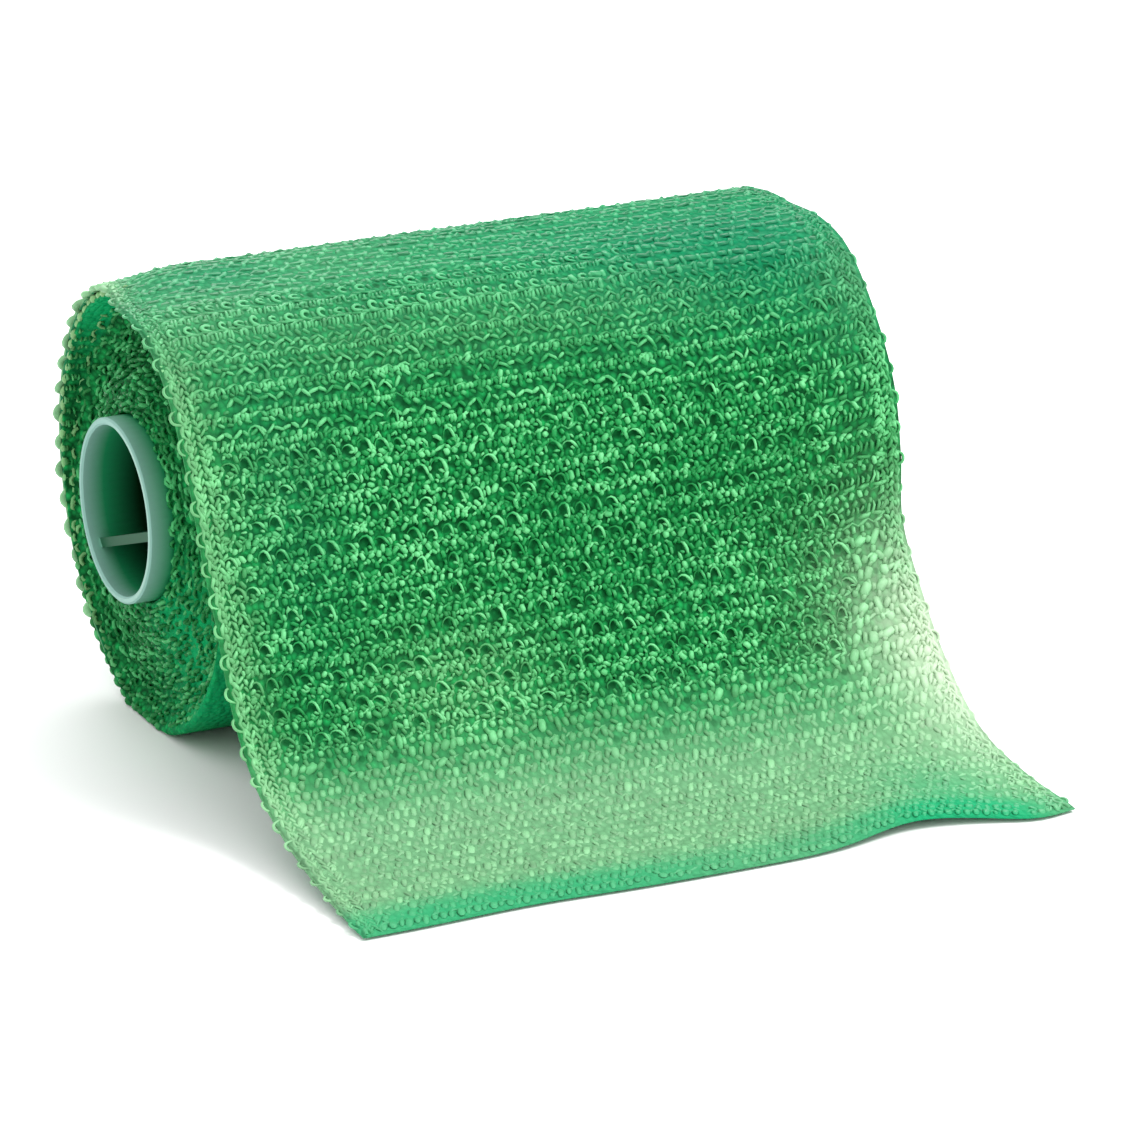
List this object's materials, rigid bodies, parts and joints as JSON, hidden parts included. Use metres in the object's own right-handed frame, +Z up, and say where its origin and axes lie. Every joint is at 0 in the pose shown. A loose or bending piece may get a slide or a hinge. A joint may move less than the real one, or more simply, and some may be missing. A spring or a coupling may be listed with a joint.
{
  "type": "casting tape roll",
  "caption": "Knitted fibreglass casting tape wound on a plastic core, with its loose end drawn over the front and laid flat.",
  "frame": {"origin": "middle of the part's footprint on the surface that it lies on", "axes": "+X along the roll's axis, -Y towards the loose end, +Z up"},
  "size_m": [0.1016, 0.1144, 0.062],
  "materials": {
    "knit": "open warp knit of resin-coated glass yarn, slightly glossy",
    "core_plastic": "frosted translucent plastic"
  },
  "bodies": {
    "root": {"tape": "knit", "core": "core_plastic"}
  },
  "joints": []
}
